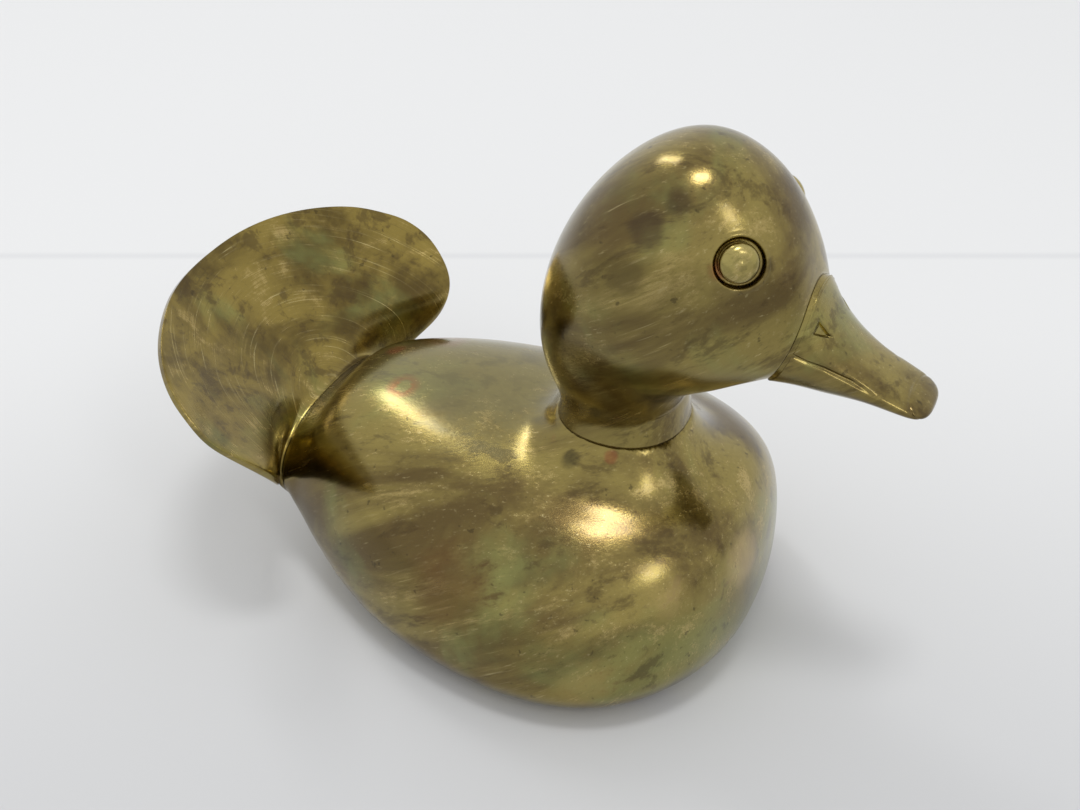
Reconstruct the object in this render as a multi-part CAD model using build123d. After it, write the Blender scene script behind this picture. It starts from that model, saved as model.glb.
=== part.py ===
"""Brass duck ornament: a hollow cast body, head and neck, bill and tail fan, with hidden fasteners."""
from build123d import *
import math
import os

# Body casting, open underneath and standing on its rim
BODY_LENGTH = 92.4
BODY_REAR_REACH = 46.0
BODY_WIDTH = 80.0
BACK_HEIGHT = 40.0
BODY_WALL = 3.0

# Tail fan casting, from its joint with the body to the top of its rim
TAIL_ROOT_WIDTH = 40.0
TAIL_ROOT_HEIGHT = 20.0
TAIL_ROOT_TOP = 30.5
FAN_OVERHANG = 1.6
FAN_WIDTH = BODY_WIDTH + FAN_OVERHANG
FAN_REACH = 26.5
FAN_RISE = 34.0
FAN_DISH = 10.0
FAN_THICKNESS = 1.8
RIM_HALF_HEIGHT = 25.4
RIM_LEAN = 45.0

# Neck joint and head casting, whose sections turn about a line in front of the throat
NECK_RISE = 4.5
NECK_SEAT_HEIGHT = BACK_HEIGHT + NECK_RISE
NECK_LENGTH = 24.0
NECK_WIDTH = 24.0
NECK_BLEND = 4.5
NECK_WAIST_SHARE = 0.97
THROAT_RISE = 4.0
THROAT_HEIGHT = NECK_SEAT_HEIGHT + THROAT_RISE
THROAT_X = 38.5
THROAT_RADIUS = 9.5
HEAD_TURN = 110.5
HEAD_REACH = 54.0
HEAD_WIDTH = 37.0
HEAD_WALL = 3.0

# Bill casting, plugged into the open front of the head
BILL_LENGTH = 26.0
BILL_DROOP = 19.8
BILL_GROOVE_WIDTH = 1.2
BILL_GROOVE_DEPTH = 0.9
BILL_PLUG_LENGTH = 5.0

# Eye studs
EYE_SEAT_DIAMETER = 9.0
EYE_SEAT_DEPTH = 1.0
EYE_STUD_DIAMETER = 6.6
EYE_STUD_RISE = 1.9
EYE_SHANK_DIAMETER = 3.0
EYE_TURN = 93.3
EYE_REACH = 39.8

# Fasteners
NECK_STUD_DIAMETER = 5.0
NECK_STUD_ENTRY = 6.0
NECK_STUD_TAIL = 1.5
NECK_BOSS_DIAMETER = 16.0
NECK_BOSS_DEPTH = 16.0
NUT_WIDTH = 8.0
NUT_HEIGHT = 4.0
WASHER_THICKNESS = 1.0
WASHER_MARGIN = 2.4
TAIL_SCREW_DIAMETER = 4.0
TAIL_SCREW_ENTRY = 7.0
TAIL_SPIGOT_DIAMETER = 9.0
TAIL_BOSS_DIAMETER = 15.0
TAIL_BOSS_LENGTH = 6.5
TAIL_SPIGOT_LENGTH = 6.0
SCREW_HEAD_DIAMETER = 7.0
SCREW_HEAD_HEIGHT = 2.8

# Fits
JOINT_GAP = 0.05
BORE_CLEARANCE = 0.1
STUD_END_CLEARANCE = 1.0
ROOM_DEPTH = 0.5
OVERRUN = 2.0
HALF_RING_STEPS = 14


def ring(centre, rise_turn, half_width, up, down, fullness, dish=0.0):
    """One closed oval section, square to the middle plane, drawn as a left and a right half.

    rise_turn is the direction of the section's height, in degrees from straight back to straight up.
    """
    halves = []
    for start in (-math.pi / 2, math.pi / 2):
        turns = [start + math.pi * step / HALF_RING_STEPS for step in range(HALF_RING_STEPS + 1)]
        points = [oval_point(centre, rise_turn, half_width, up, down, fullness, dish, turn) for turn in turns]
        across = Vector(0, math.copysign(1, -start), 0)
        halves.append(Edge.make_spline(points, tangents=[across, -across]))
    return Wire(halves)


def oval_point(centre, rise_turn, half_width, up, down, fullness, dish, turn):
    """The point of an oval section at a turn from its left side."""
    side = signed_power(math.cos(turn), 2 / fullness)
    rise = signed_power(math.sin(turn), 2 / fullness)
    height = (up if rise > 0 else down) * rise + dish * side**2
    back, lift = -math.cos(math.radians(rise_turn)), math.sin(math.radians(rise_turn))
    return Vector(centre[0] + height * back, half_width * side, centre[1] + height * lift)


def signed_power(value, power):
    """A power of a number's size that keeps its sign."""
    return math.copysign(abs(value) ** power, value)


BODY_FULLNESS = 2.35
# Along the body from its joint with the tail: place, half width, back, girth and keel height
BODY_STATION_SHARES = (
    (0.022, 0.515, 0.800, 0.475, 0.200),
    (0.066, 0.560, 0.908, 0.400, 0.075),
    (0.132, 0.650, 0.980, 0.325, -0.025),
    (0.275, 0.825, 1.022, 0.250, -0.100),
    (0.484, 0.975, 1.008, 0.225, -0.125),
    (0.692, 1.000, 0.985, 0.225, -0.125),
    (0.854, 0.845, 0.935, 0.250, -0.075),
    (0.953, 0.565, 0.830, 0.300, 0.025),
    (0.992, 0.265, 0.600, 0.350, 0.150),
)
BREAST_TIP_SHARE = 0.375


def body_form(inset):
    """The egg-shaped body, drawn in by inset all round; it runs below its rim plane."""
    girth = TAIL_ROOT_TOP - TAIL_ROOT_HEIGHT / 2
    half_root = TAIL_ROOT_WIDTH / 2
    sections = [(-BODY_REAR_REACH + inset, half_root, TAIL_ROOT_TOP, girth, TAIL_ROOT_TOP - TAIL_ROOT_HEIGHT)]
    for place, width, back, middle, keel in BODY_STATION_SHARES:
        x = -BODY_REAR_REACH + inset + place * (BODY_LENGTH - 2 * inset)
        sections.append((x, width * BODY_WIDTH / 2, back * BACK_HEIGHT, middle * BACK_HEIGHT, keel * BACK_HEIGHT))
    rings = []
    for x, half_width, top, middle, keel in sections:
        up, down = top - middle - inset, middle - keel
        rings.append(ring((x, middle), 90, half_width - inset, up, down, BODY_FULLNESS))
    tip = Vertex(BODY_LENGTH - BODY_REAR_REACH - inset, 0, BREAST_TIP_SHARE * BACK_HEIGHT)
    return Solid.make_loft(rings + [tip])


def body_shell():
    """Hollow body with the flare and boss that carry the neck and the boss that carries the tail."""
    turns = [math.pi * step / HALF_RING_STEPS for step in range(2 * HALF_RING_STEPS)]
    outline = Edge.make_spline([oval_point(*neck_oval(NECK_SEAT_HEIGHT), 0, turn) for turn in turns], periodic=True)
    neck = Solid.extrude(Face(Wire([outline])), Vector(0, 0, -NECK_BOSS_DEPTH))
    outer = split(body_form(0), bisect_by=Plane.XY, keep=Keep.TOP) + neck
    near_neck = outer.edges().filter_by(lambda edge: is_neck_foot(edge))
    outer = outer.fillet(NECK_BLEND, near_neck)
    inner = split(body_form(BODY_WALL), bisect_by=Plane.XY.offset(-OVERRUN), keep=Keep.TOP)
    boss_base = Plane((neck_x(), 0, NECK_SEAT_HEIGHT - NECK_BOSS_DEPTH))
    neck_boss = rod(boss_base, NECK_BOSS_DIAMETER, NECK_BOSS_DEPTH)
    tail_boss = rod(tail_joint(), TAIL_BOSS_DIAMETER, TAIL_BOSS_LENGTH)
    shell = outer - (inner - neck_boss - tail_boss)
    bore = rod(boss_base.offset(-OVERRUN), NECK_STUD_DIAMETER + BORE_CLEARANCE, NECK_BOSS_DEPTH + 2 * OVERRUN)
    spigot_bore = rod(
        tail_joint().offset(-OVERRUN), TAIL_SPIGOT_DIAMETER + BORE_CLEARANCE, TAIL_BOSS_LENGTH + 2 * OVERRUN
    )
    return shell - bore - spigot_bore


def neck_x():
    """Middle of the neck joint, measured forwards."""
    return THROAT_X - throat_radius(0) - NECK_LENGTH / 2


def neck_oval(height):
    """Centre, turn, half width, half lengths and fullness of the neck joint's outline at a height."""
    return (neck_x(), height), 0, NECK_WIDTH / 2, NECK_LENGTH / 2, NECK_LENGTH / 2, HEAD_FULLNESS


def is_neck_foot(edge):
    """True for the edges where the neck meets the back."""
    middle = edge.bounding_box().center()
    inside = abs(middle.X - neck_x()) < NECK_LENGTH / 2 and edge.bounding_box().size.X < NECK_LENGTH + OVERRUN
    return inside and BODY_WALL < middle.Z < NECK_SEAT_HEIGHT - OVERRUN


def rod(base, diameter, length):
    """A round rod that stands on a plane."""
    return Solid.extrude(Face(Wire([Edge.make_circle(diameter / 2, base)])), base.z_dir * length)


def tail_joint():
    """Plane of the joint between body and tail, facing forwards into the body."""
    girth = TAIL_ROOT_TOP - TAIL_ROOT_HEIGHT / 2
    return Plane((-BODY_REAR_REACH, 0, girth), x_dir=(0, 1, 0), z_dir=(1, 0, 0))


TAIL_FULLNESS = 2.35
# Up the blade: share of the reach, share of the rise, lean, share of the half width,
# half thickness as a share of the blade's, and share of the dish
BLADE_STATION_SHARES = (
    (0.066, 0.072, 52, 0.745, 1.35, 1.45),
    (0.168, 0.240, 52, 0.885, 1.35, 1.50),
    (0.319, 0.426, 47, 0.985, 1.33, 1.28),
    (0.500, 0.600, 45, 1.000, 1.00, 1.06),
    (0.720, 0.770, 45, 1.000, 1.00, 1.00),
    (1.060, 1.045, 45, 1.000, 1.00, 1.00),
)
# From the joint to the end of the root inside the blade: share of the reach, share of the rise, lean,
# share of the root's half width, shares of its half height in front and behind, and share of the dish
ROOT_STATION_SHARES = (
    (0.110, 0.055, 14, 0.990, 0.840, 0.790, 0.05),
    (0.345, 0.430, 46, 1.100, 0.070, 0.070, 0.36),
)
ROOM_STATION = 2


def tail_fan():
    """Fan casting: an oval root that flares into a thin dished blade, with its spigot."""
    joint = tail_joint()
    root_x, start = -BODY_REAR_REACH - JOINT_GAP, joint.origin.Z
    blade_rings = []
    for reach, rise, lean, width, thickness, dish in BLADE_STATION_SHARES:
        centre = (root_x - reach * FAN_REACH, start + rise * FAN_RISE)
        half = thickness * FAN_THICKNESS / 2
        blade_rings.append(ring(centre, 90 + lean, width * FAN_WIDTH / 2, half, half, TAIL_FULLNESS, dish * FAN_DISH))
    blade = Solid.make_loft(blade_rings) - rim_trim(Vector(root_x - FAN_REACH, 0, start + FAN_RISE))
    blade -= body_room(root_x - ROOM_DEPTH)
    half_root = TAIL_ROOT_HEIGHT / 2
    root_rings = [ring((root_x, start), 90, TAIL_ROOT_WIDTH / 2, half_root, half_root, TAIL_FULLNESS)]
    for reach, rise, lean, width, front, rear, dish in ROOT_STATION_SHARES:
        centre = (root_x - reach * FAN_REACH, start + rise * FAN_RISE)
        half_width, up, down = width * TAIL_ROOT_WIDTH / 2, front * half_root, rear * half_root
        root_rings.append(ring(centre, 90 + lean, half_width, up, down, TAIL_FULLNESS, dish * FAN_DISH))
    spigot = rod(joint.offset(-OVERRUN), TAIL_SPIGOT_DIAMETER, TAIL_SPIGOT_LENGTH + OVERRUN)
    hole = rod(
        joint.offset(TAIL_SPIGOT_LENGTH - TAIL_SCREW_ENTRY), TAIL_SCREW_DIAMETER + BORE_CLEARANCE,
        TAIL_SCREW_ENTRY + OVERRUN,
    )
    return blade + Solid.make_loft(root_rings) + spigot - hole


def body_room(start):
    """Room for the rear of the body in front of the joint, between the lobes of the fan."""
    _, width, back, middle, keel = BODY_STATION_SHARES[ROOM_STATION]
    up, down = (back - middle) * BACK_HEIGHT, (middle - keel) * BACK_HEIGHT
    outline = ring((start, middle * BACK_HEIGHT), 90, width * BODY_WIDTH / 2, up, down, BODY_FULLNESS)
    return Solid.extrude(Face(outline), Vector(FAN_REACH, 0, 0))


def rim_trim(top):
    """What is cut away outside the oval rim of the fan, above its widest place."""
    lean = math.radians(RIM_LEAN)
    up_fan = Vector(-math.cos(lean), 0, math.sin(lean))
    forward = Vector(math.sin(lean), 0, math.cos(lean))
    plane = Plane(top - up_fan * RIM_HALF_HEIGHT - forward * FAN_WIDTH / 2, x_dir=(0, 1, 0), z_dir=forward)
    rim = Wire([Edge.make_ellipse(FAN_WIDTH / 2, RIM_HALF_HEIGHT, plane)])
    far = FAN_WIDTH
    tall = math.copysign(RIM_HALF_HEIGHT + far, plane.y_dir.dot(up_fan))
    corners = [plane.from_local_coords(corner) for corner in ((-far, 0), (far, 0), (far, tall), (-far, tall))]
    block = Solid.extrude(Face(Wire(Polyline(*corners, close=True).edges())), forward * FAN_WIDTH)
    return block - Solid.extrude(Face(rim), forward * FAN_WIDTH)


HEAD_FULLNESS = 2.2
# Round the throat from the neck joint to the bill: turn, throat radius, reach and half width
HEAD_STATION_SHARES = (
    (0.12, 1.00, 0.662, 0.714),
    (0.27, 1.02, 0.758, 0.811),
    (0.42, 0.99, 0.851, 0.935),
    (0.57, 0.97, 0.950, 1.000),
    (0.72, 1.02, 1.000, 0.968),
    (0.87, 1.18, 0.871, 0.746),
    (1.00, 1.45, 0.641, 0.503),
)
NECK_THROAT_SHARE = 0.90
FOOT_STATION = 1


def throat_radius(turn_share):
    """Radius of the throat curve at the neck joint (0) or at a station of the head."""
    if turn_share == 0:
        return NECK_THROAT_SHARE * THROAT_RADIUS
    return dict((row[0], row[1]) for row in HEAD_STATION_SHARES)[turn_share] * THROAT_RADIUS


def head_ring(turn, inner, outer, half_width):
    """A section of the head in the plane that the throat line and a turn give."""
    middle = (inner + outer) / 2
    centre = (
        THROAT_X - middle * math.cos(math.radians(turn)),
        THROAT_HEIGHT + middle * math.sin(math.radians(turn)),
    )
    half = (outer - inner) / 2
    return ring(centre, turn, half_width, half, half, HEAD_FULLNESS)


def head_rows(inset):
    """Turn, inner radius, outer radius and half width of the head's sections."""
    rows = []
    for turn, throat, reach, width in HEAD_STATION_SHARES:
        inner, outer = throat * THROAT_RADIUS + inset, reach * HEAD_REACH - inset
        rows.append((turn * HEAD_TURN, inner, outer, width * HEAD_WIDTH / 2 - inset))
    return rows


def head_form():
    """Outer form of head and neck, from the neck joint to the bill's."""
    foot = ring(*neck_oval(NECK_SEAT_HEIGHT + JOINT_GAP))
    inner = throat_radius(0) + (1 - NECK_WAIST_SHARE) * NECK_LENGTH / 2
    outer = throat_radius(0) + (1 + NECK_WAIST_SHARE) * NECK_LENGTH / 2
    waist = head_ring(0, inner, outer, NECK_WAIST_SHARE * NECK_WIDTH / 2)
    return Solid.make_loft([foot, waist] + [head_ring(*row) for row in head_rows(0)])


def head_casting():
    """Hollow head and neck, solid at its foot and open where the bill plugs in."""
    hollow = head_rows(HEAD_WALL)[FOOT_STATION:]
    turn, inner, reach, half_width = hollow[-1]
    past = math.degrees(OVERRUN / inner)
    cavity = Solid.make_loft([head_ring(*row) for row in hollow + [(turn + past, inner, reach, half_width)]])
    seat = Plane((neck_x(), 0, NECK_SEAT_HEIGHT))
    stud_hole = rod(seat.offset(-OVERRUN), NECK_STUD_DIAMETER + BORE_CLEARANCE, OVERRUN + NECK_STUD_ENTRY + STUD_END_CLEARANCE)
    head = head_form() - cavity - stud_hole
    for side in (1, -1):
        face = eye_plane(side)
        head -= rod(face.offset(-EYE_SEAT_DEPTH), EYE_SEAT_DIAMETER, EYE_SEAT_DEPTH + 2 * OVERRUN)
        head -= rod(face.offset(-HEAD_WALL - OVERRUN), EYE_SHANK_DIAMETER + BORE_CLEARANCE, HEAD_WALL + OVERRUN)
    return head


def eye_plane(side):
    """Plane on the head's surface at the middle of an eye, facing outwards."""
    turn = math.radians(EYE_TURN)
    x = THROAT_X - EYE_REACH * math.cos(turn)
    z = THROAT_HEIGHT + EYE_REACH * math.sin(turn)
    hits = head_form().find_intersection_points(Axis((x, 0, z), (0, side, 0)))
    point, normal = max(hits, key=lambda hit: side * hit[0].Y)
    return Plane(point, z_dir=normal)


# Along the bill from its groove to its tip: place, half width, height above and below the axis
BILL_STATION_SHARES = (
    (0.000, 1.000, 1.000, 1.000),
    (0.150, 0.935, 0.690, 0.830),
    (0.350, 0.860, 0.375, 0.650),
    (0.600, 0.760, 0.150, 0.440),
    (0.840, 0.670, 0.070, 0.300),
    (0.930, 0.560, 0.050, 0.240),
    (0.980, 0.380, 0.020, 0.180),
)
BILL_ROOT_SHARE = 0.98
BILL_TIP_DROP_SHARE = -0.08


def bill_casting():
    """Bill with the plug that seats in the head and the groove round its root."""
    turn, inner, outer, half_width = head_rows(0)[-1]
    angle = math.radians(turn)
    middle = (inner + outer) / 2
    root = Vector(THROAT_X - middle * math.cos(angle), 0, THROAT_HEIGHT + middle * math.sin(angle))
    forward = Vector(math.sin(angle), 0, math.cos(angle))
    half = (outer - inner) / 2
    plug_inset = HEAD_WALL + BORE_CLEARANCE
    plug = Face(head_ring(turn, inner + plug_inset, outer - plug_inset, half_width - plug_inset))
    plug = plug.moved(Location(forward * BILL_GROOVE_WIDTH))
    plug = Solid.extrude(plug, -forward * (BILL_GROOVE_WIDTH + BILL_PLUG_LENGTH))
    collar = Face(head_ring(turn, inner + BILL_GROOVE_DEPTH, outer - BILL_GROOVE_DEPTH, half_width - BILL_GROOVE_DEPTH))
    collar = Solid.extrude(collar.moved(Location(forward * JOINT_GAP)), forward * BILL_GROOVE_WIDTH)
    start = root + forward * BILL_GROOVE_WIDTH
    droop = math.radians(BILL_DROOP)
    axis = Vector(math.cos(droop), 0, -math.sin(droop))
    rings = []
    for place, width, above, below in BILL_STATION_SHARES:
        centre = start + axis * (place * BILL_LENGTH)
        lean = turn + (90 + BILL_DROOP - turn) * min(1, place / BILL_STATION_SHARES[2][0])
        size = BILL_ROOT_SHARE * half
        rings.append(
            ring((centre.X, centre.Z), lean, BILL_ROOT_SHARE * half_width * width, above * size, below * size, HEAD_FULLNESS)
        )
    tip = start + axis * BILL_LENGTH
    blade = Solid.make_loft(rings + [Vertex(tip.X, 0, tip.Z + BILL_TIP_DROP_SHARE * half)])
    return blade + collar + plug


# Outline of an eye stud above its seat, from the edge of its flange to the middle of its flat
EYE_PROFILE_SHARES = (
    (1.00, 0.00), (1.00, 0.30), (0.97, 0.50), (0.86, 0.75), (0.72, 0.92), (0.58, 1.00), (0.20, 0.94), (0.12, 1.02),
    (0.00, 1.04),
)


def eye_stud(side):
    """Turned stud: a shank, a flange on the seat and a low dome with a flat and a pip."""
    seat = eye_plane(side).offset(-EYE_SEAT_DEPTH + JOINT_GAP)
    shank = EYE_SHANK_DIAMETER / 2
    outline = [(across * EYE_STUD_DIAMETER / 2, rise * EYE_STUD_RISE) for across, rise in EYE_PROFILE_SHARES]
    profile = Polyline((0, -HEAD_WALL), (shank, -HEAD_WALL), (shank, 0), *outline, close=True)
    turned = revolve(Face(Wire(profile.edges())).moved(Location((0, 0, 0), (90, 0, 0))), Axis.Z)
    return turned.moved(seat.location)


def neck_stud():
    """Stud through the neck boss into the foot of the head."""
    low = NECK_SEAT_HEIGHT - NECK_BOSS_DEPTH - WASHER_THICKNESS - NUT_HEIGHT - NECK_STUD_TAIL
    return rod(Plane((neck_x(), 0, low)), NECK_STUD_DIAMETER, NECK_SEAT_HEIGHT + NECK_STUD_ENTRY - low)


def washer(plane, bore):
    """Flat washer that stands on a plane."""
    outer = rod(plane, bore + 2 * WASHER_MARGIN, WASHER_THICKNESS - JOINT_GAP)
    return outer - rod(plane.offset(-OVERRUN), bore + BORE_CLEARANCE, WASHER_THICKNESS + 2 * OVERRUN)


def neck_washer():
    """Washer under the neck boss."""
    plane = Plane((neck_x(), 0, NECK_SEAT_HEIGHT - NECK_BOSS_DEPTH - WASHER_THICKNESS))
    return washer(plane, NECK_STUD_DIAMETER)


def neck_nut():
    """Hexagon nut on the neck stud."""
    low = NECK_SEAT_HEIGHT - NECK_BOSS_DEPTH - WASHER_THICKNESS - NUT_HEIGHT
    base = Plane((neck_x(), 0, low))
    corner = NUT_WIDTH / 2 / math.cos(math.pi / 6)
    points = [(corner * math.cos(k * math.pi / 3), corner * math.sin(k * math.pi / 3)) for k in range(6)]
    outline = Wire(Polyline(*points, close=True).edges())
    nut = Solid.extrude(Face(outline), Vector(0, 0, NUT_HEIGHT - JOINT_GAP)).moved(base.location)
    return nut - rod(base.offset(-OVERRUN), NECK_STUD_DIAMETER + BORE_CLEARANCE, NUT_HEIGHT + 2 * OVERRUN)


def tail_washer():
    """Washer between the tail boss and the screw's head."""
    return washer(tail_joint().offset(TAIL_BOSS_LENGTH + JOINT_GAP), TAIL_SCREW_DIAMETER)


def tail_screw():
    """Screw from inside the body into the tail's spigot."""
    under_head = TAIL_BOSS_LENGTH + WASHER_THICKNESS + JOINT_GAP
    reach = TAIL_SPIGOT_LENGTH - TAIL_SCREW_ENTRY + JOINT_GAP
    shank = rod(tail_joint().offset(reach), TAIL_SCREW_DIAMETER, under_head - reach)
    return shank + rod(tail_joint().offset(under_head), SCREW_HEAD_DIAMETER, SCREW_HEAD_HEIGHT)


def pieces():
    """Every separate piece, by its node's name."""
    return {
        "body_shell": body_shell(),
        "tail_fan": tail_fan(),
        "head_casting": head_casting(),
        "bill_casting": bill_casting(),
        "eye_stud_left": eye_stud(1),
        "eye_stud_right": eye_stud(-1),
        "neck_stud": neck_stud(),
        "neck_washer": neck_washer(),
        "neck_nut": neck_nut(),
        "tail_washer": tail_washer(),
        "tail_screw": tail_screw(),
    }


def main():
    """Build the pieces, centre them over the origin and write them."""
    made = {name: piece.solid() for name, piece in pieces().items()}
    box = Compound(list(made.values())).bounding_box()
    shift = Location((-box.center().X, 0, 0))
    os.makedirs("parts", exist_ok=True)
    for name, piece in made.items():
        export_step(piece.moved(shift), os.path.join("parts", name + ".step"))


if __name__ == "__main__":
    main()
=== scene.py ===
"""Looks of the brass duck ornament: its smooth castings, turned eyes, fasteners, finishes, light and camera."""
from __future__ import annotations

import logging
import math
from dataclasses import dataclass
from enum import Enum
from typing import Callable, Sequence

import bmesh
import bpy
import numpy as np
from mathutils import Matrix, Vector

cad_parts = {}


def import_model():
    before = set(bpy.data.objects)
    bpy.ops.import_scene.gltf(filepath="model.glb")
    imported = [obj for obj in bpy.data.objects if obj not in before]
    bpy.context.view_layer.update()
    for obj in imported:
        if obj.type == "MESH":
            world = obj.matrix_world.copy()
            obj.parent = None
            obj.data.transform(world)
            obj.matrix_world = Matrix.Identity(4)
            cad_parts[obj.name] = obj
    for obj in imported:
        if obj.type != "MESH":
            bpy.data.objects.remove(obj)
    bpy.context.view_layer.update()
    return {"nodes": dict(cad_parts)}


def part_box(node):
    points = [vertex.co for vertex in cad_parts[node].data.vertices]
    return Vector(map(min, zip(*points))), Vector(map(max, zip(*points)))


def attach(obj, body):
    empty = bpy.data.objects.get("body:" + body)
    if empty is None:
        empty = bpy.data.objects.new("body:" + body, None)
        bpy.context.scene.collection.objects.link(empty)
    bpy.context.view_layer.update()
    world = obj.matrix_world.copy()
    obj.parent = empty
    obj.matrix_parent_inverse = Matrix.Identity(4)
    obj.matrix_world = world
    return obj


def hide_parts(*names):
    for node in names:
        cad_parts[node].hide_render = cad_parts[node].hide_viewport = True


LOG = logging.getLogger("brass_duck")
MM = 0.001
FULL_TURN = 2 * math.pi
FINE_STEPS = 4000


class Side(Enum):
    """Which side of the duck a piece is on, with the sign of its Y coordinate."""

    LEFT = 1
    RIGHT = -1


# ---- shader maths ----


class Wire:
    """A shader value that can be used in Python expressions."""

    def __init__(self, painter: "Painter", socket: bpy.types.NodeSocket) -> None:
        """Wrap a node's output socket."""
        self.painter = painter
        self.socket = socket

    def _math(self, operation: str, *values: object) -> "Wire":
        """Add a Math node for an operation on this value and others."""
        return self.painter.node("ShaderNodeMath", {"operation": operation}, dict(enumerate(values)))

    def __add__(self, other: object) -> "Wire":
        """Sum of two values."""
        return self._math("ADD", self, other)

    def __sub__(self, other: object) -> "Wire":
        """Difference of two values."""
        return self._math("SUBTRACT", self, other)

    def __mul__(self, other: object) -> "Wire":
        """Product of two values."""
        return self._math("MULTIPLY", self, other)

    def __truediv__(self, other: object) -> "Wire":
        """Quotient of two values."""
        return self._math("DIVIDE", self, other)

    def __rsub__(self, other: object) -> "Wire":
        """Difference with this value taken away."""
        return self._math("SUBTRACT", other, self)

    def __pow__(self, other: object) -> "Wire":
        """Power of this value."""
        return self._math("POWER", self, other)

    __radd__ = __add__
    __rmul__ = __mul__

    def larger(self, other: object) -> "Wire":
        """The larger of two values."""
        return self._math("MAXIMUM", self, other)

    def smaller(self, other: object) -> "Wire":
        """The smaller of two values."""
        return self._math("MINIMUM", self, other)

    def size(self) -> "Wire":
        """The value without its sign."""
        return self._math("ABSOLUTE", self)

    def step(self, low: float, high: float) -> "Wire":
        """Rise smoothly from 0 at low to 1 at high."""
        settings = {"interpolation_type": "SMOOTHSTEP"}
        values = {"Value": self, "From Min": low, "From Max": high}
        return self.painter.node("ShaderNodeMapRange", settings, values)


class Painter:
    """Builds one material's nodes."""

    def __init__(self, name: str) -> None:
        """Start a material with an empty tree."""
        self.material = bpy.data.materials.new(name)
        self.material.use_nodes = True
        self.tree = self.material.node_tree
        self.tree.nodes.clear()

    def node(
        self, kind: str, settings: dict[str, object], values: dict[object, object], output: int | str = 0
    ) -> Wire:
        """Add a node.

        Args:
            kind: the node's type name.
            settings: what is set on the node itself, with a ramp's stops under "stops".
            values: numbers, colours or wires for its input sockets, by name or number.
            output: the output socket that the result stands for.

        Returns:
            The output as a wire.
        """
        made = self.tree.nodes.new(kind)
        for key, value in settings.items():
            if key == "stops":
                self._set_stops(made.color_ramp, value)
            else:
                setattr(made, key, value)
        for key, value in values.items():
            if isinstance(value, Wire):
                self.tree.links.new(value.socket, made.inputs[key])
            else:
                made.inputs[key].default_value = value
        return Wire(self, made.outputs[output])

    @staticmethod
    def _set_stops(ramp: bpy.types.ColorRamp, stops: Sequence[tuple[float, tuple]]) -> None:
        """Give a ramp its stops, each a place and a colour.

        Args:
            ramp: the ramp to fill.
            stops: places from 0 to 1 with their colours.
        """
        while len(ramp.elements) < len(stops):
            ramp.elements.new(0.5)
        for element, (place, colour) in zip(ramp.elements, stops):
            element.position = place
            element.color = (*colour, 1.0)

    def place(self) -> Wire:
        """Object coordinates, in metres."""
        return self.node("ShaderNodeTexCoord", {}, {}, "Object")

    def mapped(self, turn: Sequence[float], scale: Sequence[float]) -> Wire:
        """Object coordinates turned in degrees, then scaled.

        Args:
            turn: turns about X, Y and Z in degrees.
            scale: factors along the turned axes.

        Returns:
            The coordinates.
        """
        turned = self.node(
            "ShaderNodeMapping", {}, {"Vector": self.place(), "Rotation": [math.radians(angle) for angle in turn]}
        )
        return self.node("ShaderNodeMapping", {}, {"Vector": turned, "Scale": list(scale)})

    def noise(self, vector: Wire, scale: float, detail: float, warp: float = 0.0, rough: float = 0.5) -> Wire:
        """Cloudy noise from 0 to 1.

        Args:
            vector: where it is read.
            scale: clouds to a unit of the vector.
            detail: how many finer layers it has.
            warp: how much the clouds are drawn out of shape.
            rough: how strong the finer layers are.

        Returns:
            The noise.
        """
        values = {"Vector": vector, "Scale": scale, "Detail": detail, "Distortion": warp, "Roughness": rough}
        return self.node("ShaderNodeTexNoise", {"noise_dimensions": "3D"}, values, "Fac")

    def blend(self, share: object, first: object, second: object) -> Wire:
        """Mix two colours by a share."""
        return self.node("ShaderNodeMix", {"data_type": "RGBA"}, {0: share, 6: first, 7: second}, 2)

    def distance(self, point: Sequence[float]) -> Wire:
        """Distance in millimetres from a point given in metres.

        Args:
            point: the point.

        Returns:
            The distance.
        """
        ends = {0: self.place(), 1: list(point)}
        return self.node("ShaderNodeVectorMath", {"operation": "DISTANCE"}, ends, 1) / MM

    def finish(self, **values: object) -> bpy.types.Material:
        """Close the tree with a Principled shader that takes the given inputs.

        Args:
            values: inputs by name, with an underscore for each space.

        Returns:
            The material.
        """
        named = {key.replace("_", " "): value for key, value in values.items()}
        shader = self.node("ShaderNodeBsdfPrincipled", {}, named)
        end = self.tree.nodes.new("ShaderNodeOutputMaterial")
        self.tree.links.new(shader.socket, end.inputs["Surface"])
        return self.material


def rgb(text: str) -> tuple[float, float, float, float]:
    """Linear colour from six hexadecimal digits."""
    parts = [int(text[k:k + 2], 16) / 255 for k in (0, 2, 4)]
    return (*[c / 12.92 if c <= 0.04045 else ((c + 0.055) / 1.055) ** 2.4 for c in parts], 1.0)


# ---- forms ----


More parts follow.
